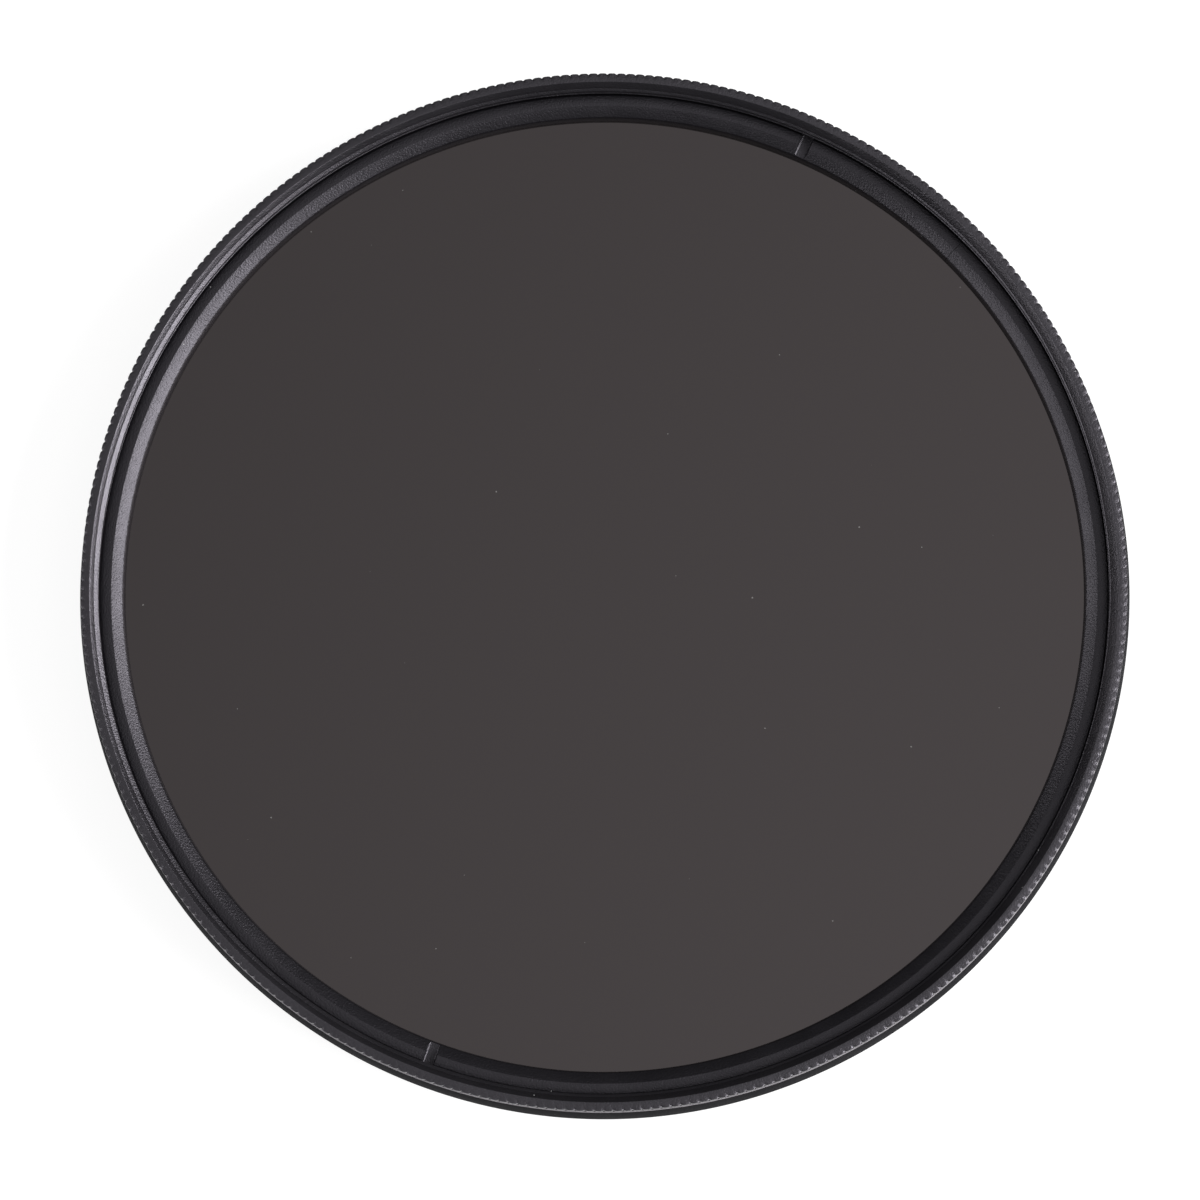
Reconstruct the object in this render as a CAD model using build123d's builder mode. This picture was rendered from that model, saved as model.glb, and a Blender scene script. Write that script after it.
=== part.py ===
from build123d import *
import math
import os

# Screw-in lens filter of the turning kind: a circular polariser with a 77 mm filter thread.
# The rear ring screws into a lens. The front ring, with the glass, turns inside the rear ring
# and is held there by a sprung wire. Z is the optical axis, with the front of the filter up,
# and the origin is on the axis at the rear end of the male thread. All sizes are millimetres.

# Filter thread
thread_diameter = 77.0
thread_depth = 0.4
thread_length = 2.2
thread_flank_angle = 30.0
thread_end_chamfer = 0.25
thread_relief_width = 0.35
thread_relief_depth = 0.45
thread_tube_wall = 1.5

# Rear ring
rear_height = 4.0
rear_wall = 0.96
rear_edge_break = 0.13
rear_taper_height = 2.3
rear_foot_chamfer = 0.2
rear_floor_thickness = 0.45

# Running fit between the two rings
running_clearance = 0.05
axial_clearance = 0.05

# Sprung wire in its two grooves
wire_width = 0.5
wire_groove_clearance = 0.1
wire_height = 1.7
wire_gap_angle = 14.0

# Optical sandwich
front_glass_thickness = 0.6
rear_glass_thickness = 0.6
polarising_film_thickness = 0.2
retarder_film_thickness = 0.1
glass_edge_clearance = 0.06
glass_edge_chamfer = 0.1
glass_proud = 0.1

# Retaining ring
retainer_height = 1.35
retainer_flat_width = 0.77
retainer_slope_width = 0.8
retainer_slope_drop = 0.42
retainer_inner_taper = 0.15
retainer_thread_chamfer = 0.28
retainer_clearance = 0.05
retainer_headroom = 0.1
notch_width = 0.8
notch_depth = 0.46
second_notch_angle = 184.0
split_gap = 0.08
split_angle = 21.6

# Front ring
skirt_wall = 0.45
pocket_step = 0.44
lip_width = 1.0
lip_thickness = 0.35
front_recess_depth = 1.8
grip_overhang = 0.56
knurl_pitch = 0.72
knurl_depth = 0.18
bevel_width = 0.5
bevel_height = 0.2
rim_land_width = 0.2
lead_in_width = 0.29
lead_in_depth = 0.31

# Radii from the axis
thread_r = thread_diameter / 2
thread_core_r = thread_r - thread_depth
thread_relief_r = thread_r - thread_relief_depth
thread_tube_r = thread_r - thread_tube_wall
skirt_r = thread_r + skirt_wall
bearing_r = skirt_r + running_clearance
rear_r = bearing_r + rear_wall
knurl_r = bearing_r + grip_overhang
knurl_root_r = knurl_r - knurl_depth
land_outer_r = knurl_r - bevel_width
land_inner_r = land_outer_r - rim_land_width
lead_in_r = land_inner_r - lead_in_width
pocket_r = thread_core_r - pocket_step
glass_r = pocket_r - glass_edge_clearance
lip_r = glass_r - lip_width
retainer_r = thread_r - retainer_clearance
retainer_top_r = retainer_r - retainer_thread_chamfer
retainer_flat_r = retainer_top_r - retainer_flat_width
retainer_edge_r = retainer_flat_r - retainer_slope_width
retainer_inner_r = retainer_edge_r - retainer_inner_taper

# Levels along the axis, from the rear end to the front
seat_z = thread_length
floor_z = seat_z + rear_floor_thickness
wire_z = seat_z + wire_height
shoulder_z = seat_z + rear_height
edge_break_z = shoulder_z - rear_edge_break
skirt_z = floor_z + axial_clearance
rear_glass_z = skirt_z + lip_thickness
retarder_z = rear_glass_z + rear_glass_thickness
polariser_z = retarder_z + retarder_film_thickness
front_glass_z = polariser_z + polarising_film_thickness
retainer_z = front_glass_z + front_glass_thickness
retainer_top_z = retainer_z + retainer_height
pocket_top_z = retainer_z - glass_proud
thread_end_z = retainer_top_z + retainer_headroom
flange_z = shoulder_z + axial_clearance
rim_z = retainer_top_z + front_recess_depth
lead_in_z = rim_z - lead_in_depth
flank_drop = (lead_in_r - thread_core_r) * math.tan(math.radians(thread_flank_angle))

wire_groove_width = wire_width + 2 * wire_groove_clearance
knurl_teeth = round(2 * math.pi * knurl_r / knurl_pitch)

os.makedirs("parts", exist_ok=True)

# Rear ring: turned from bar, with the male thread's tube, a seat face that meets the lens,
# a smooth tapered outside and a bore in which the front ring turns.
with BuildPart() as rear_ring:
    with BuildSketch(Plane.XZ) as rear_section:
        with BuildLine():
            Polyline(
                (thread_tube_r, 0),
                (thread_r - thread_end_chamfer, 0),
                (thread_r, thread_end_chamfer),
                (thread_r, seat_z - thread_relief_width),
                (thread_relief_r, seat_z - thread_relief_width),
                (thread_relief_r, seat_z),
                (rear_r - rear_foot_chamfer, seat_z),
                (rear_r, seat_z + rear_foot_chamfer),
                (rear_r, edge_break_z - rear_taper_height),
                (knurl_r + rear_edge_break, edge_break_z),
                (knurl_r, shoulder_z),
                (bearing_r, shoulder_z),
                (bearing_r, floor_z),
                (thread_tube_r, floor_z),
                close=True,
            )
        make_face()
    revolve(axis=Axis.Z)
    with BuildSketch(Plane.XZ) as rear_wire_groove:
        with Locations((bearing_r, wire_z)):
            Rectangle(wire_groove_width, wire_groove_width)
    revolve(axis=Axis.Z, mode=Mode.SUBTRACT)

# Sprung wire: an open ring of square wire that sits half in each ring's groove.
with BuildPart() as spring_wire:
    with BuildSketch(Plane.XZ) as wire_section:
        with Locations((bearing_r, wire_z)):
            Rectangle(wire_width, wire_width)
    revolve(axis=Axis.Z, revolution_arc=360 - wire_gap_angle)

# Front ring: the glass pocket and its lip on a skirt that fits the rear ring's bore,
# and above it the knurled grip. The female thread inside is its core cylinder at the front,
# and its full diameter below, where the retaining ring is screwed in.
with BuildPart() as front_ring:
    with BuildSketch(Plane.XZ) as front_section:
        with BuildLine():
            Polyline(
                (lip_r, skirt_z),
                (skirt_r, skirt_z),
                (skirt_r, flange_z),
                (knurl_root_r, flange_z),
                (knurl_root_r, rim_z),
                (land_inner_r, rim_z),
                (lead_in_r, lead_in_z),
                (thread_core_r, lead_in_z - flank_drop),
                (thread_core_r, thread_end_z),
                (thread_r, thread_end_z),
                (thread_r, pocket_top_z),
                (pocket_r, pocket_top_z),
                (pocket_r, rear_glass_z),
                (lip_r, rear_glass_z),
                close=True,
            )
        make_face()
    revolve(axis=Axis.Z)
    # straight knurl: the toothed outline of the grip, with a crest and a root for each tooth
    with BuildSketch(Plane.XY.offset(flange_z)) as knurl_outline:
        with BuildLine():
            half_pitch_angle = 180 / knurl_teeth
            knurl_points = []
            for tooth in range(knurl_teeth):
                crest_angle = 2 * tooth * half_pitch_angle
                knurl_points.append(Vector(knurl_r, 0).rotate(Axis.Z, crest_angle))
                knurl_points.append(Vector(knurl_root_r, 0).rotate(Axis.Z, crest_angle + half_pitch_angle))
            Polyline(*knurl_points, close=True)
        make_face()
        Circle(land_inner_r, mode=Mode.SUBTRACT)
    extrude(amount=rim_z - flange_z)
    # outer bevel, turned after the knurl, so that the grooves run out on it
    with BuildSketch(Plane.XZ) as bevel_cut:
        with BuildLine():
            Polyline(
                (land_outer_r, rim_z),
                (land_outer_r + 2 * bevel_width, rim_z),
                (land_outer_r + 2 * bevel_width, rim_z - 2 * bevel_height),
                close=True,
            )
        make_face()
    revolve(axis=Axis.Z, mode=Mode.SUBTRACT)
    with BuildSketch(Plane.XZ) as front_wire_groove:
        with Locations((skirt_r, wire_z)):
            Rectangle(wire_groove_width, wire_groove_width)
    revolve(axis=Axis.Z, mode=Mode.SUBTRACT)

# Optical sandwich: two glass discs with the quarter-wave film and the polarising film between
# them, cemented face to face.
with BuildPart() as rear_glass:
    with BuildSketch(Plane.XY.offset(rear_glass_z)):
        Circle(glass_r)
    extrude(amount=rear_glass_thickness)
    chamfer(rear_glass.edges().sort_by(Axis.Z)[0], glass_edge_chamfer)

with BuildPart() as retarder_film:
    with BuildSketch(Plane.XY.offset(retarder_z)):
        Circle(glass_r)
    extrude(amount=retarder_film_thickness)

with BuildPart() as polarising_film:
    with BuildSketch(Plane.XY.offset(polariser_z)):
        Circle(glass_r)
    extrude(amount=polarising_film_thickness)

with BuildPart() as front_glass:
    with BuildSketch(Plane.XY.offset(front_glass_z)):
        Circle(glass_r)
    extrude(amount=front_glass_thickness)
    chamfer(front_glass.edges().sort_by(Axis.Z)[-1], glass_edge_chamfer)

# Retaining ring: screwed down on the glass, with a flat top that slopes to the glass,
# two round-bottomed spanner notches, the first on the Y axis, and one hairline split.
with BuildPart() as retaining_ring:
    with BuildSketch(Plane.XZ) as retainer_section:
        with BuildLine():
            Polyline(
                (retainer_inner_r, retainer_z),
                (retainer_r, retainer_z),
                (retainer_r, retainer_top_z - retainer_thread_chamfer),
                (retainer_top_r, retainer_top_z),
                (retainer_flat_r, retainer_top_z),
                (retainer_edge_r, retainer_top_z - retainer_slope_drop),
                close=True,
            )
        make_face()
    revolve(axis=Axis.Z)
    for notch_angle in (180, second_notch_angle - 180):
        with BuildSketch(Plane.XZ.rotated((0, 0, notch_angle))) as notch_outline:
            with Locations((0, retainer_top_z - notch_depth + notch_width / 2)):
                Circle(notch_width / 2)
                Rectangle(notch_width, notch_width, align=(Align.CENTER, Align.MIN))
        extrude(amount=retainer_r, mode=Mode.SUBTRACT)
    with BuildSketch(Plane.XY.offset(retainer_z).rotated((0, 0, 90 - split_angle))) as split_outline:
        Rectangle(retainer_r, split_gap, align=(Align.MIN, Align.CENTER))
    extrude(amount=retainer_height, mode=Mode.SUBTRACT)

for name, piece in (
    ("rear_ring", rear_ring),
    ("spring_wire", spring_wire),
    ("front_ring", front_ring),
    ("rear_glass", rear_glass),
    ("retarder_film", retarder_film),
    ("polarising_film", polarising_film),
    ("front_glass", front_glass),
    ("retaining_ring", retaining_ring),
):
    piece.part.label = name
    export_step(piece.part, "parts/" + name + ".step")
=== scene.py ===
import bpy
import bmesh
import math
from mathutils import Matrix, Vector


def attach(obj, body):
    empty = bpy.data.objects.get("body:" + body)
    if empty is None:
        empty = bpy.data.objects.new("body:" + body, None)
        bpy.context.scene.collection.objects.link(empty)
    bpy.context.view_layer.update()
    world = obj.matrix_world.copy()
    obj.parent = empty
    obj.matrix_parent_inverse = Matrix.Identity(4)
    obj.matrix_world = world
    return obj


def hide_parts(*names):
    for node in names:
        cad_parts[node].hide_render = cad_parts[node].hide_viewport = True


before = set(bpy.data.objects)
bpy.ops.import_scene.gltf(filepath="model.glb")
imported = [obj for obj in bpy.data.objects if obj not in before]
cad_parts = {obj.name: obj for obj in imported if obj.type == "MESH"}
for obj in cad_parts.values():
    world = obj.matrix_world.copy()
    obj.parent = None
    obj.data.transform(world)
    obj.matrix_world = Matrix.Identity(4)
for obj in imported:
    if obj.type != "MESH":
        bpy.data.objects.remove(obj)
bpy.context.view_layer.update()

bpy.context.scene.view_settings.view_transform = "Standard"


# Camera: almost straight above the filter, leaning 7.5 degrees towards the lower edge of the picture,
# and turned so that the upper spanner notch stands right of the middle. The focal length is long.
mm = 0.001
lean_angle = math.radians(7.46)
lean_heading = math.radians(301.8)
picture_up_heading = math.radians(114.2)
aim_height = 5.9 * mm
pixel = 0.0758 * mm
picture_width_pixels = 1200
distance_pixels = 5200
sensor_width = 36
axis_right_of_middle = 3.6 * pixel
axis_above_middle = 11.4 * pixel
back = Vector((
    math.sin(lean_angle) * math.cos(lean_heading),
    math.sin(lean_angle) * math.sin(lean_heading),
    math.cos(lean_angle),
))
up = Vector((math.cos(picture_up_heading), math.sin(picture_up_heading), 0))
up = (up - up.dot(back) * back).normalized()
right = up.cross(back)
aim = Vector((0, 0, aim_height)) - right * axis_right_of_middle - up * axis_above_middle
bpy.ops.object.select_all(action="DESELECT")
bpy.ops.object.camera_add(
    location=aim + back * (distance_pixels * pixel),
    rotation=Matrix((right, up, back)).transposed().to_euler(),
)
camera = bpy.context.object
camera.name = "camera"
camera.data.sensor_width = sensor_width
camera.data.lens = sensor_width * distance_pixels / picture_width_pixels
camera.data.clip_start = 0.01
camera.data.clip_end = 50
bpy.context.scene.camera = camera


# Rear ring: the smooth ring that screws into the lens, turned from aluminium bar and anodised black.
# The section is drawn corner by corner, its sharp edges are broken, and it is spun about the axis.
# A thin edge of bare metal shows at its shoulder, from a cut made after the anodising.
merge_distance = 0.001 * mm


def draw_section(name, corners, closed=True):
    bpy.ops.object.select_all(action="DESELECT")
    bpy.ops.mesh.primitive_plane_add(size=mm)
    bpy.context.object.name = name
    bpy.ops.object.mode_set(mode="EDIT")
    bpy.ops.mesh.select_mode(type="VERT")
    bpy.ops.mesh.select_all(action="SELECT")
    bpy.ops.mesh.merge(type="CENTER")
    places = [Vector((radius, 0, height)) * mm for radius, height in corners]
    bpy.ops.transform.translate(value=places[0])
    around = places[1:] + places[:1] if closed else places[1:]
    for here, there in zip(places, around):
        bpy.ops.mesh.extrude_vertices_move(TRANSFORM_OT_translate={"value": there - here})
    bpy.ops.mesh.select_all(action="SELECT")
    bpy.ops.mesh.remove_doubles(threshold=merge_distance)
    return bpy.context.object


def pick(test):
    mesh = bmesh.from_edit_mesh(bpy.context.object.data)
    for vert in mesh.verts:
        vert.select_set(bool(test(vert.co / mm)))
    mesh.select_flush_mode()
    bmesh.update_edit_mesh(bpy.context.object.data)


def round_corners(corners, segments=2):
    near = 0.005
    for (radius, height), size in corners:
        pick(lambda p: abs(p.x - radius) < near and abs(p.z - height) < near)
        bpy.ops.mesh.bevel(
            offset=size * mm, segments=segments, affect="VERTICES", clamp_overlap=True
        )


def spin_full():
    steps = 720
    bpy.ops.mesh.select_all(action="SELECT")
    bpy.ops.mesh.spin(steps=steps, angle=2 * math.pi, center=(0, 0, 0), axis=(0, 0, 1))
    bpy.ops.mesh.select_all(action="SELECT")
    bpy.ops.mesh.remove_doubles(threshold=merge_distance)
    bpy.ops.mesh.normals_make_consistent(inside=False)
    bpy.ops.object.mode_set(mode="OBJECT")


def make_active(piece):
    bpy.ops.object.select_all(action="DESELECT")
    piece.select_set(True)
    bpy.context.view_layer.objects.active = piece


def finish_shading(piece, degrees):
    make_active(piece)
    bpy.ops.object.shade_smooth_by_angle(angle=math.radians(degrees), keep_sharp_edges=False)


thread_r = 38.5
thread_core_r = 38.1
thread_root_r = thread_core_r - 0.05
pitch = 0.75
tube_r = 37.0
bearing_r = 39.0
rear_r = 39.95
rear_groove_r = 39.35
foot_z = 2.2
foot_chamfer = 0.2
floor_z = 2.65
groove_low_z = 3.55
groove_high_z = 4.25
taper_z = 4.2
shoulder_z = 6.2
tube_end = (tube_r, 0)
thread_end = (thread_root_r, 0)
foot_inner = (rear_r - foot_chamfer, foot_z)
foot_outer = (rear_r, foot_z + foot_chamfer)
bare_edge = (39.565, 6.12)
shoulder_outer = (39.485, shoulder_z)
shoulder_inner = (bearing_r, shoulder_z)
floor_inner = (tube_r, floor_z)
rear_ring = draw_section("rear_ring_turned", (
    tube_end,
    thread_end,
    (thread_root_r, foot_z),
    foot_inner,
    foot_outer,
    (rear_r, taper_z),
    bare_edge,
    shoulder_outer,
    shoulder_inner,
    (bearing_r, groove_high_z),
    (rear_groove_r, groove_high_z),
    (rear_groove_r, groove_low_z),
    (bearing_r, groove_low_z),
    (bearing_r, floor_z),
    floor_inner,
))
round_corners((
    (tube_end, 0.06),
    (thread_end, 0.12),
    (foot_inner, 0.04),
    (foot_outer, 0.04),
    (bare_edge, 0.02),
    (shoulder_outer, 0.02),
    (shoulder_inner, 0.05),
    (floor_inner, 0.05),
))
spin_full()


# The ridge of a filter thread is screwed round the axis at its pitch. Its two ends run out into the wall,
# and its foot is sunk a little into the wall that it stands on.
def thread_ridge(name, root_r, crest_r, first_z, turns, steps):
    sunk = 0.03
    flank_angle = math.radians(30)
    run_out = math.radians(40)
    near = 0.01
    outward = 1 if crest_r > root_r else -1
    sunk_r = root_r - outward * sunk
    crest_half = pitch / 16
    root_half = crest_half + (abs(crest_r - root_r) + sunk) * math.tan(flank_angle)
    ridge = draw_section(name, (
        (sunk_r, first_z - root_half),
        (crest_r, first_z - crest_half),
        (crest_r, first_z + crest_half),
        (sunk_r, first_z + root_half),
    ))
    bpy.ops.object.mode_set(mode="OBJECT")
    screw = ridge.modifiers.new("thread", "SCREW")
    screw.axis = "Z"
    screw.angle = 2 * math.pi * turns
    screw.screw_offset = pitch * turns * mm
    screw.steps = round(steps * turns)
    screw.render_steps = round(steps * turns)
    screw.use_smooth_shade = False
    bpy.ops.object.modifier_apply(modifier="thread")
    bpy.ops.object.mode_set(mode="EDIT")
    last = 2 * math.pi * turns
    mesh = bmesh.from_edit_mesh(ridge.data)
    for vert in mesh.verts:
        height = vert.co.z / mm
        turned = (height - first_z) / pitch * 2 * math.pi
        away = math.hypot(vert.co.x, vert.co.y) / mm
        if abs(away - crest_r) > near:
            continue
        share = min(1, max(0, min(turned, last - turned) / run_out))
        wanted = sunk_r + (crest_r - sunk_r) * share
        vert.co.x *= wanted / away
        vert.co.y *= wanted / away
    bmesh.update_edit_mesh(ridge.data)
    bpy.ops.mesh.select_all(action="SELECT")
    bpy.ops.mesh.fill_holes(sides=4)
    bpy.ops.mesh.select_all(action="SELECT")
    bpy.ops.mesh.normals_make_consistent(inside=False)
    bpy.ops.object.mode_set(mode="OBJECT")
    return ridge


def weld_on(piece, extra):
    make_active(piece)
    extra.select_set(True)
    bpy.ops.object.join()


male_thread = thread_ridge(
    "male_thread", root_r=thread_root_r, crest_r=thread_r, first_z=0.34, turns=2.0, steps=240
)
weld_on(rear_ring, male_thread)
finish_shading(rear_ring, 25)


# The black anodised finish is dyed oxide on turned aluminium. It is satin, with the fine grain of the etch,
# faint turning marks that run round the axis, and a few specks of dust.
def new_finish(name):
    finish = bpy.data.materials.new(name)
    finish.use_nodes = True
    tree = finish.node_tree
    return finish, tree.nodes, tree.links, tree.nodes["Principled BSDF"]


def noise(nodes, links, place, scale, detail):
    texture = nodes.new("ShaderNodeTexNoise")
    texture.inputs["Scale"].default_value = scale
    texture.inputs["Detail"].default_value = detail
    links.new(place, texture.inputs["Vector"])
    return texture.outputs["Fac"]


def spread(nodes, links, value, from_range, to_range):
    mapped = nodes.new("ShaderNodeMapRange")
    mapped.inputs["From Min"].default_value = from_range[0]
    mapped.inputs["From Max"].default_value = from_range[1]
    mapped.inputs["To Min"].default_value = to_range[0]
    mapped.inputs["To Max"].default_value = to_range[1]
    links.new(value, mapped.inputs["Value"])
    return mapped.outputs["Result"]


def combine(nodes, links, operation, first, second):
    combined = nodes.new("ShaderNodeMath")
    combined.operation = operation
    links.new(first, combined.inputs[0])
    links.new(second, combined.inputs[1])
    return combined.outputs["Value"]


def blend(nodes, links, share, second, first=None):
    mixed = nodes.new("ShaderNodeMix")
    mixed.data_type = "RGBA"
    if first is not None:
        mixed.inputs["A"].default_value = (*first, 1)
    mixed.inputs["B"].default_value = (*second, 1)
    links.new(share, mixed.inputs["Factor"])
    return mixed


def dust_specks(nodes, links, place, scale, rarity, largest, flat=False):
    grid = nodes.new("ShaderNodeTexVoronoi")
    if flat:
        grid.voronoi_dimensions = "2D"
    grid.inputs["Scale"].default_value = scale
    links.new(place, grid.inputs["Vector"])
    chance = nodes.new("ShaderNodeSeparateColor")
    links.new(grid.outputs["Color"], chance.inputs["Color"])
    speck_size = spread(nodes, links, chance.outputs["Red"], (rarity, 1.0), (0.0, largest))
    return combine(nodes, links, "LESS_THAN", grid.outputs["Distance"], speck_size)


def bump(nodes, links, height, strength, depth):
    raised = nodes.new("ShaderNodeBump")
    raised.inputs["Strength"].default_value = strength
    raised.inputs["Distance"].default_value = depth
    links.new(height, raised.inputs["Height"])
    return raised


def anodised(name, dark, roughness, gloss, grain, turning):
    roughness_swing = 0.04
    darkest_dye = 0.4
    palest_dye = 1.6
    finish, nodes, links, shader = new_finish(name)
    shader.inputs["Metallic"].default_value = 0.0
    shader.inputs["IOR"].default_value = 1.6
    shader.inputs["Specular IOR Level"].default_value = gloss
    shader.inputs["Specular Tint"].default_value = (0.94, 0.89, 1.0, 1)
    place = nodes.new("ShaderNodeTexCoord").outputs["Object"]
    apart = nodes.new("ShaderNodeSeparateXYZ")
    links.new(place, apart.inputs["Vector"])
    across = nodes.new("ShaderNodeCombineXYZ")
    links.new(apart.outputs["X"], across.inputs["X"])
    links.new(apart.outputs["Y"], across.inputs["Y"])
    away = nodes.new("ShaderNodeVectorMath")
    away.operation = "LENGTH"
    links.new(across.outputs["Vector"], away.inputs[0])
    groove = nodes.new("ShaderNodeCombineXYZ")
    links.new(away.outputs["Value"], groove.inputs["X"])
    links.new(apart.outputs["Z"], groove.inputs["Y"])
    marks = noise(nodes, links, groove.outputs["Vector"], scale=14000, detail=2)
    etch = noise(nodes, links, place, scale=7500, detail=3)
    cloud = noise(nodes, links, place, scale=320, detail=4)
    uneven = spread(
        nodes, links, cloud, (0.3, 0.7), (roughness - roughness_swing, roughness + roughness_swing)
    )
    links.new(uneven, shader.inputs["Roughness"])
    dye = blend(
        nodes, links, etch,
        first=[darkest_dye * c for c in dark], second=[palest_dye * c for c in dark],
    )
    speck = dust_specks(nodes, links, place, scale=1000, rarity=0.75, largest=0.06)
    dusted = blend(nodes, links, speck, second=(0.3, 0.3, 0.3))
    dusted.name = "dusted"
    links.new(dye.outputs["Result"], dusted.inputs["A"])
    links.new(dusted.outputs["Result"], shader.inputs["Base Color"])
    turned = bump(nodes, links, marks, strength=turning, depth=0.01 * mm)
    rough = bump(nodes, links, etch, strength=grain, depth=0.03 * mm)
    links.new(turned.outputs["Normal"], rough.inputs["Normal"])
    links.new(rough.outputs["Normal"], shader.inputs["Normal"])
    return finish


rear_black = anodised(
    "rear_black_anodise", dark=(0.009, 0.009, 0.0105), roughness=0.8, gloss=0.06, grain=0.4, turning=0.4
)
nodes = rear_black.node_tree.nodes
links = rear_black.node_tree.links
shader = nodes["Principled BSDF"]
bare_height = spread(
    nodes, links, nodes["Separate XYZ"].outputs["Z"], (6.09 * mm, 6.11 * mm), (0, 1)
)
bare_reach = spread(
    nodes, links, nodes["Vector Math"].outputs["Value"], (39.48 * mm, 39.49 * mm), (0, 1)
)
bare = combine(nodes, links, "MULTIPLY", bare_height, bare_reach)
links.new(bare, shader.inputs["Metallic"])
bright_edge = blend(nodes, links, bare, second=(0.42, 0.4, 0.42))
links.new(nodes["dusted"].outputs["Result"], bright_edge.inputs["A"])
links.new(bright_edge.outputs["Result"], shader.inputs["Base Color"])
rear_ring.data.materials.append(rear_black)
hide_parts("rear_ring")
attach(rear_ring, "rear")


# Spring wire: the open ring of square spring wire that holds the two rings together, half in each groove.
# It is cut from drawn wire, so its edges are rounded and its two ends are cut square.
wire_z = 3.9
wire_half = 0.25
wire_rounding = 0.07
wire_gap = math.radians(14)
wire_steps = 360
wire = draw_section("spring_wire_bent", (
    (bearing_r - wire_half, wire_z - wire_half),
    (bearing_r + wire_half, wire_z - wire_half),
    (bearing_r + wire_half, wire_z + wire_half),
    (bearing_r - wire_half, wire_z + wire_half),
))
bpy.ops.mesh.select_all(action="SELECT")
bpy.ops.mesh.bevel(offset=wire_rounding * mm, segments=2, affect="VERTICES")
bpy.ops.mesh.select_all(action="SELECT")
bpy.ops.mesh.spin(
    steps=wire_steps, angle=2 * math.pi - wire_gap, center=(0, 0, 0), axis=(0, 0, 1)
)
bpy.ops.mesh.select_all(action="SELECT")
bpy.ops.mesh.fill_holes(sides=16)
bpy.ops.mesh.select_all(action="SELECT")
bpy.ops.mesh.normals_make_consistent(inside=False)
bpy.ops.object.mode_set(mode="OBJECT")
finish_shading(wire, 30)
steel, nodes, links, shader = new_finish("drawn_spring_steel")
shader.inputs["Metallic"].default_value = 1.0
shader.inputs["Roughness"].default_value = 0.35
place = nodes.new("ShaderNodeTexCoord").outputs["Object"]
drawn_streak = noise(nodes, links, place, scale=4000, detail=2)
steel_tone = blend(nodes, links, drawn_streak, first=(0.38, 0.38, 0.39), second=(0.52, 0.52, 0.53))
links.new(steel_tone.outputs["Result"], shader.inputs["Base Color"])
wire.data.materials.append(steel)
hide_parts("spring_wire")
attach(wire, "rear")


# Front ring: the aluminium ring that is turned by hand, with a straight knurl, a bevelled rim and the
# female thread. One tooth of the knurl is made and repeated all round, and joined to the part that is
# plain turning.
knurl_r = 39.52
knurl_depth = 0.1
gap_narrowness = 6
teeth = 345
columns = 6
tooth_angle = 2 * math.pi / teeth
flange_z = 6.25
flange_chamfer = 0.06
rim_z = 7.7
grip_low = (39.2, flange_z)
grip_high = (39.2, 7.66)
grip_wall = ((knurl_r - flange_chamfer, flange_z), (knurl_r, flange_z + flange_chamfer))
gap_wall = [(wall_r - knurl_depth, wall_z) for wall_r, wall_z in grip_wall]
tooth_outline = (*grip_wall, (knurl_r, 7.59), (39.5, 7.63), (39.38, 7.645))
gap_outline = (*gap_wall, (knurl_r - knurl_depth, 7.5), (39.415, 7.56), (39.345, 7.62))
front_ring = draw_section(
    "front_ring_knurled", (grip_low, *tooth_outline, grip_high), closed=False
)
bpy.ops.mesh.select_all(action="SELECT")
bpy.ops.mesh.spin(steps=columns, angle=tooth_angle, center=(0, 0, 0), axis=(0, 0, 1))
sector = bmesh.from_edit_mesh(front_ring.data)
spun_side = 1 if sum(vert.co.y for vert in sector.verts) > 0 else -1
for column in range(columns + 1):
    cut = (0.5 + 0.5 * math.cos(2 * math.pi * column / columns)) ** gap_narrowness
    heading = tooth_angle * column / columns
    radial = Vector((math.cos(heading), spun_side * math.sin(heading), 0))
    for (tooth_r, tooth_z), (gap_r, gap_z) in zip(tooth_outline, gap_outline):
        pick(lambda p: (p - radial * tooth_r - Vector((0, 0, tooth_z))).length < 0.01)
        inward = radial * (gap_r - tooth_r) + Vector((0, 0, gap_z - tooth_z))
        bpy.ops.transform.translate(value=inward * cut * mm)
bpy.ops.object.mode_set(mode="OBJECT")
turner = bpy.data.objects.new("tooth_turn", None)
bpy.context.scene.collection.objects.link(turner)
turner.rotation_euler = (0, 0, spun_side * tooth_angle)
bpy.context.view_layer.update()
knurl = front_ring.modifiers.new("knurl", "ARRAY")
knurl.use_relative_offset = False
knurl.use_object_offset = True
knurl.offset_object = turner
knurl.count = teeth
bpy.ops.object.modifier_apply(modifier="knurl")
bpy.data.objects.remove(turner)

skirt_r = 38.95
skirt_z = 2.7
front_groove_r = 38.6
pocket_r = 37.66
pocket_top_z = 4.45
seat_z = 3.05
lip_r = 36.6
undercut_z = 6.65
rim_inner = (38.845, rim_z)
lead_in_end = (38.58, 7.4)
flank_nick = (38.575, 7.355)
flank_top = (38.555, 7.37)
flank_foot = (38.22, 7.18)
core_end = (38.21, 6.75)
skirt_end = (skirt_r, skirt_z)
turned_part = draw_section("front_ring_turning", (
    grip_high,
    rim_inner,
    lead_in_end,
    flank_nick,
    flank_top,
    flank_foot,
    core_end,
    (thread_r, undercut_z),
    (thread_r, pocket_top_z),
    (pocket_r, pocket_top_z),
    (pocket_r, seat_z),
    (lip_r, seat_z),
    (lip_r, skirt_z),
    skirt_end,
    (skirt_r, groove_low_z),
    (front_groove_r, groove_low_z),
    (front_groove_r, groove_high_z),
    (skirt_r, groove_high_z),
    (skirt_r, flange_z),
    grip_low,
), closed=False)
round_corners(((rim_inner, 0.03), (flank_foot, 0.02), (skirt_end, 0.08)))
bpy.ops.object.mode_set(mode="OBJECT")
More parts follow.
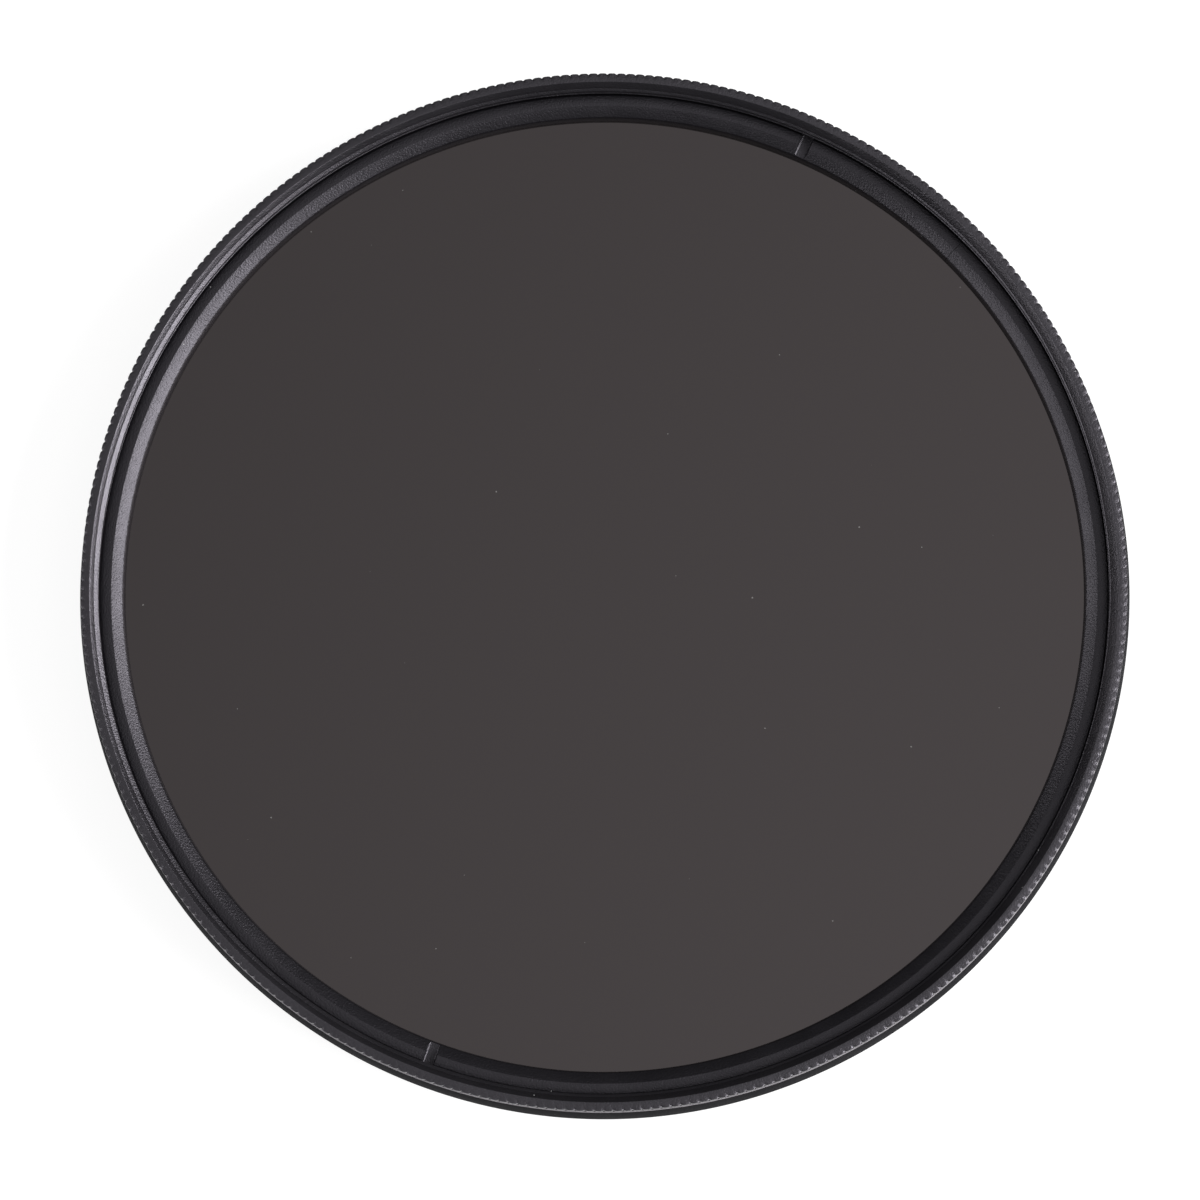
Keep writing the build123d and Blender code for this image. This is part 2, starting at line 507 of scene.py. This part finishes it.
turning = turned_part.modifiers.new("turning", "SCREW")
turning.axis = "Z"
turning.angle = 2 * math.pi
turning.steps = teeth * columns
turning.render_steps = teeth * columns
turning.use_merge_vertices = True
turning.merge_threshold = merge_distance
bpy.ops.object.modifier_apply(modifier="turning")

# The first turn of the thread drops away from its start, so the lead-in leaves less and less of its flank.
# The upper edge of the flank slides in along the slope as it drops.
flank_start = math.radians(196)
flank_least = math.radians(182)
flank_whole = math.radians(322)
flank_drop = 0.16
edge_slide = 1.77
edge_drop = 2
flank_inner_r, flank_outer_r = 38.15, 38.6
flank_low_z, flank_high_z = 7.1, 7.45
bpy.ops.object.mode_set(mode="EDIT")
mesh = bmesh.from_edit_mesh(turned_part.data)
for vert in mesh.verts:
    away = math.hypot(vert.co.x, vert.co.y) / mm
    height = vert.co.z / mm
    if not (flank_inner_r < away < flank_outer_r and flank_low_z < height < flank_high_z):
        continue
    turned = (flank_start - math.atan2(vert.co.y, vert.co.x)) % (2 * math.pi)
    share = min(turned / flank_least, max(0, flank_whole - turned) / (flank_whole - flank_least))
    drop = flank_drop * share
    if away > thread_r:
        vert.co.x *= 1 - edge_slide * drop / away
        vert.co.y *= 1 - edge_slide * drop / away
        vert.co.z -= edge_drop * drop * mm
    else:
        vert.co.z -= drop * mm
bmesh.update_edit_mesh(turned_part.data)
bpy.ops.object.mode_set(mode="OBJECT")
weld_on(front_ring, turned_part)
bpy.ops.object.mode_set(mode="EDIT")
bpy.ops.mesh.select_all(action="SELECT")
bpy.ops.mesh.remove_doubles(threshold=3 * merge_distance)
bpy.ops.mesh.normals_make_consistent(inside=False)
bpy.ops.object.mode_set(mode="OBJECT")
female_thread = thread_ridge(
    "female_thread", root_r=thread_r, crest_r=38.25, first_z=5.98, turns=0.85, steps=480
)
weld_on(front_ring, female_thread)
finish_shading(front_ring, 30)
front_black = anodised(
    "front_black_anodise", dark=(0.007, 0.0066, 0.0078), roughness=0.33, gloss=0.7, grain=1.0, turning=0.3
)
front_ring.data.materials.append(front_black)
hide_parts("front_ring")
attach(front_ring, "front")


# Optical sandwich: two polished glass discs with the clear quarter-wave film and the grey polarising film
# between them, in the front ring's pocket, with ground bevels on the outer edges. The glass is dark, with
# a high index, so that its front face alone reflects as much as all the faces of the real sandwich.
glass_r = 37.6
glass_bevel = 0.1
skin = 0.004
rear_glass_z = 3.05
retarder_z = 3.65
polariser_z = 3.75
front_glass_z = 3.95
glass_top_z = 4.55


def disc(name, low, high, bevelled_z):
    bpy.ops.object.select_all(action="DESELECT")
    bpy.ops.mesh.primitive_circle_add(
        vertices=512, radius=glass_r * mm, fill_type="NGON", location=(0, 0, (low + skin) * mm)
    )
    piece = bpy.context.object
    piece.name = name
    bpy.ops.object.transform_apply(location=True)
    bpy.ops.object.mode_set(mode="EDIT")
    bpy.ops.mesh.select_all(action="SELECT")
    bpy.ops.mesh.extrude_region_move(
        TRANSFORM_OT_translate={"value": (0, 0, (high - low - 2 * skin) * mm)}
    )
    if bevelled_z is not None:
        pick(lambda p: abs(p.z - bevelled_z) < 2 * skin)
        bpy.ops.mesh.bevel(offset=glass_bevel * mm, segments=1, affect="EDGES")
    for level in (low + skin, high - skin):
        mesh = bmesh.from_edit_mesh(piece.data)
        for face in mesh.faces:
            level_gap = abs(face.calc_center_median().z / mm - level)
            face.select_set(abs(face.normal.z) > 0.9 and level_gap < skin / 2)
        bmesh.update_edit_mesh(piece.data)
        bpy.ops.mesh.poke()
    bpy.ops.mesh.select_all(action="SELECT")
    bpy.ops.mesh.normals_make_consistent(inside=False)
    bpy.ops.object.mode_set(mode="OBJECT")
    finish_shading(piece, 20)
    return piece


def polished_glass(name, dusty):
    dark_glass = (0.0006, 0.0006, 0.0006)
    dust = (0.14, 0.14, 0.137)
    finish, nodes, links, shader = new_finish(name)
    shader.inputs["IOR"].default_value = 2.1
    shader.inputs["Specular Tint"].default_value = (1.0, 0.885, 0.9, 1)
    place = nodes.new("ShaderNodeTexCoord").outputs["Object"]
    wipe = noise(nodes, links, place, scale=90, detail=1)
    smear = spread(nodes, links, wipe, (0.3, 0.7), (0.0, 0.02))
    links.new(smear, shader.inputs["Roughness"])
    if not dusty:
        shader.inputs["Base Color"].default_value = (*dark_glass, 1)
        shader.inputs["Transmission Weight"].default_value = 1.0
        return finish
    speck = dust_specks(nodes, links, place, scale=190, rarity=0.72, largest=0.012, flat=True)
    dusted = blend(nodes, links, speck, first=dark_glass, second=dust)
    links.new(dusted.outputs["Result"], shader.inputs["Base Color"])
    clear = spread(nodes, links, speck, (0, 1), (1, 0))
    links.new(clear, shader.inputs["Transmission Weight"])
    return finish


def stretched_film(name, dark, pale, alpha):
    finish, nodes, links, shader = new_finish(name)
    shader.inputs["Alpha"].default_value = alpha
    shader.inputs["Roughness"].default_value = 0.2
    place = nodes.new("ShaderNodeTexCoord").outputs["Object"]
    pull = nodes.new("ShaderNodeMapping")
    pull.inputs["Scale"].default_value = (20, 900, 1)
    links.new(place, pull.inputs["Vector"])
    streak = noise(nodes, links, pull.outputs["Vector"], scale=1.0, detail=2)
    tone = blend(nodes, links, streak, first=dark, second=pale)
    links.new(tone.outputs["Result"], shader.inputs["Base Color"])
    return finish


rear_polish = polished_glass("rear_glass_polish", dusty=False)
clear_film = stretched_film(
    "clear_film_finish", dark=(0.1, 0.1, 0.09), pale=(0.14, 0.14, 0.13), alpha=0.05
)
grey_film = stretched_film(
    "grey_film_finish", dark=(0.01, 0.0088, 0.009), pale=(0.014, 0.0124, 0.0126), alpha=0.92
)
front_polish = polished_glass("front_glass_polish", dusty=True)
for name, node, low, high, bevelled_z, finish, slot in (
    ("rear_glass_disc", "rear_glass", rear_glass_z, retarder_z, rear_glass_z,
     rear_polish, "optical_glass"),
    ("retarder_film_disc", "retarder_film", retarder_z, polariser_z, None,
     clear_film, "clear_film"),
    ("polarising_film_disc", "polarising_film", polariser_z, front_glass_z, None,
     grey_film, "grey_film"),
    ("front_glass_disc", "front_glass", front_glass_z, glass_top_z, glass_top_z,
     front_polish, "optical_glass"),
):
    piece = disc(name, low, high, bevelled_z)
    piece.data.materials.append(finish)
    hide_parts(node)
    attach(piece, "front")


# Retaining ring: the thin aluminium ring screwed down on the glass, with a flat top that slopes in
# towards it. Two flat-bottomed notches with rounded corners, for a pin spanner, and the hairline split
# where the ring is sprung in are cut out after turning.
retainer_z = glass_top_z
retainer_top_z = 5.9
retainer_chamfer_z = 5.62
retainer_r = 38.45
inner_foot = (36.45, retainer_z)
top_outer = (38.17, retainer_top_z)
top_inner = (37.4, retainer_top_z)
slope_end = (36.53, 5.445)
retaining_ring = draw_section("retaining_ring_notched", (
    inner_foot,
    (retainer_r, retainer_z),
    (retainer_r, retainer_chamfer_z),
    top_outer,
    top_inner,
    slope_end,
))
round_corners(
    ((inner_foot, 0.03), (top_outer, 0.06), (top_inner, 0.03), (slope_end, 0.1)), segments=3
)
spin_full()


def cutting_block(middle_r, middle_z, length, width, height):
    bpy.ops.object.select_all(action="DESELECT")
    bpy.ops.mesh.primitive_cube_add(
        size=mm, location=(middle_r * mm, 0, middle_z * mm), scale=(length, width, height)
    )
    bpy.ops.object.transform_apply(location=True, scale=True)
    return bpy.context.object


def cut_away(piece, cutter, heading):
    cutter.data.transform(Matrix.Rotation(math.radians(heading), 4, "Z"))
    cut = piece.modifiers.new("cut", "BOOLEAN")
    cut.operation = "DIFFERENCE"
    cut.solver = "EXACT"
    cut.object = cutter
    make_active(piece)
    bpy.ops.object.modifier_apply(modifier="cut")
    bpy.data.objects.remove(cutter)


first_notch_heading = 90
second_notch_heading = first_notch_heading + 184
split_heading = first_notch_heading - 21.6
notch_width = 0.97
notch_depth = 0.42
notch_corner = 0.2
notch_cutter_height = 2
split_width = 0.03
for heading in (first_notch_heading, second_notch_heading):
    notch_cutter = cutting_block(
        middle_r=37.2, middle_z=retainer_top_z - notch_depth + notch_cutter_height / 2,
        length=4, width=notch_width, height=notch_cutter_height,
    )
    bpy.ops.object.mode_set(mode="EDIT")
    pick(lambda p: p.z < retainer_top_z)
    bpy.ops.mesh.bevel(offset=notch_corner * mm, segments=6, affect="EDGES")
    bpy.ops.object.mode_set(mode="OBJECT")
    cut_away(retaining_ring, notch_cutter, heading)
split_cutter = cutting_block(middle_r=37.4, middle_z=5.2, length=4, width=split_width, height=3)
cut_away(retaining_ring, split_cutter, split_heading)
finish_shading(retaining_ring, 28)
retainer_black = anodised(
    "retainer_black_anodise",
    dark=(0.005, 0.0047, 0.0058), roughness=0.36, gloss=0.49, grain=1.0, turning=0.3,
)
retaining_ring.data.materials.append(retainer_black)
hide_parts("retaining_ring")
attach(retaining_ring, "front")


# Table: the pale, matt surface that the filter lies on. What the camera, the metal and the glass see of it
# is lifted to nearly white in its material, and it still takes the filter's shadow.
table_lift = 0.84
bpy.ops.object.select_all(action="DESELECT")
bpy.ops.mesh.primitive_plane_add(size=6, location=(0, 0, -0.01 * mm))
table = bpy.context.object
table.name = "pale_table"
pale_top, nodes, links, shader = new_finish("pale_table_top")
shader.inputs["Base Color"].default_value = (0.32, 0.32, 0.32, 1)
shader.inputs["Roughness"].default_value = 0.9
shader.inputs["Specular IOR Level"].default_value = 0.0
path = nodes.new("ShaderNodeLightPath").outputs
seen = combine(nodes, links, "MAXIMUM", path["Is Camera Ray"], path["Is Glossy Ray"])
seen_too = combine(nodes, links, "MAXIMUM", seen, path["Is Transmission Ray"])
lift = spread(nodes, links, seen_too, (0, 1), (0, table_lift))
shader.inputs["Emission Color"].default_value = (1, 1, 1, 1)
links.new(lift, shader.inputs["Emission Strength"])
table.data.materials.append(pale_top)


# Lights: a strong soft light on the right of the picture and a weaker one on the left, in a dim room
# with a pale ceiling that is brighter towards the right.
def soft_light(name, picture_heading, elevation, distance, width, height, watts):
    heading = math.radians(picture_heading) + picture_up_heading - math.pi / 2
    rise = math.radians(elevation)
    toward = Vector((
        math.cos(heading) * math.cos(rise), math.sin(heading) * math.cos(rise), math.sin(rise),
    ))
    bpy.ops.object.select_all(action="DESELECT")
    bpy.ops.object.light_add(
        type="AREA", location=toward * distance, rotation=toward.to_track_quat("Z", "Y").to_euler()
    )
    lamp = bpy.context.object
    lamp.name = name
    lamp.data.shape = "RECTANGLE"
    lamp.data.size = width
    lamp.data.size_y = height
    lamp.data.energy = watts


soft_light(
    "right_softbox", picture_heading=-7, elevation=36, distance=0.9, width=0.75, height=0.45, watts=11.6
)
soft_light(
    "left_softbox", picture_heading=190, elevation=34, distance=0.9, width=0.9, height=0.4, watts=3.2
)

room = bpy.data.worlds.new("dim_room")
bpy.context.scene.world = room
room.use_nodes = True
nodes = room.node_tree.nodes
links = room.node_tree.links
wall_level = 0.08
overhead_level = 0.5
sky = nodes.new("ShaderNodeTexCoord").outputs["Generated"]
sky_apart = nodes.new("ShaderNodeSeparateXYZ")
links.new(sky, sky_apart.inputs["Vector"])
ceiling = nodes.new("ShaderNodeValToRGB")
for height, level in ((0.76, 0.09), (0.88, 0.75), (0.97, 0.43)):
    stop = ceiling.color_ramp.elements.new(height)
    stop.color = (level, level, level, 1)
ceiling.color_ramp.elements[0].color = (wall_level, wall_level, wall_level, 1)
ceiling.color_ramp.elements[-1].color = (overhead_level, overhead_level, overhead_level, 1)
links.new(sky_apart.outputs["Z"], ceiling.inputs["Fac"])
links.new(ceiling.outputs["Color"], nodes["Background"].inputs["Color"])
window_heading = picture_up_heading - math.radians(97)
window_side = nodes.new("ShaderNodeVectorMath")
window_side.operation = "DOT_PRODUCT"
window_side.inputs[1].default_value = (math.cos(window_heading), math.sin(window_heading), 0)
links.new(sky, window_side.inputs[0])
window_share = spread(nodes, links, window_side.outputs["Value"], (-0.3, 0.3), (0.6, 1.4))
links.new(window_share, nodes["Background"].inputs["Strength"])
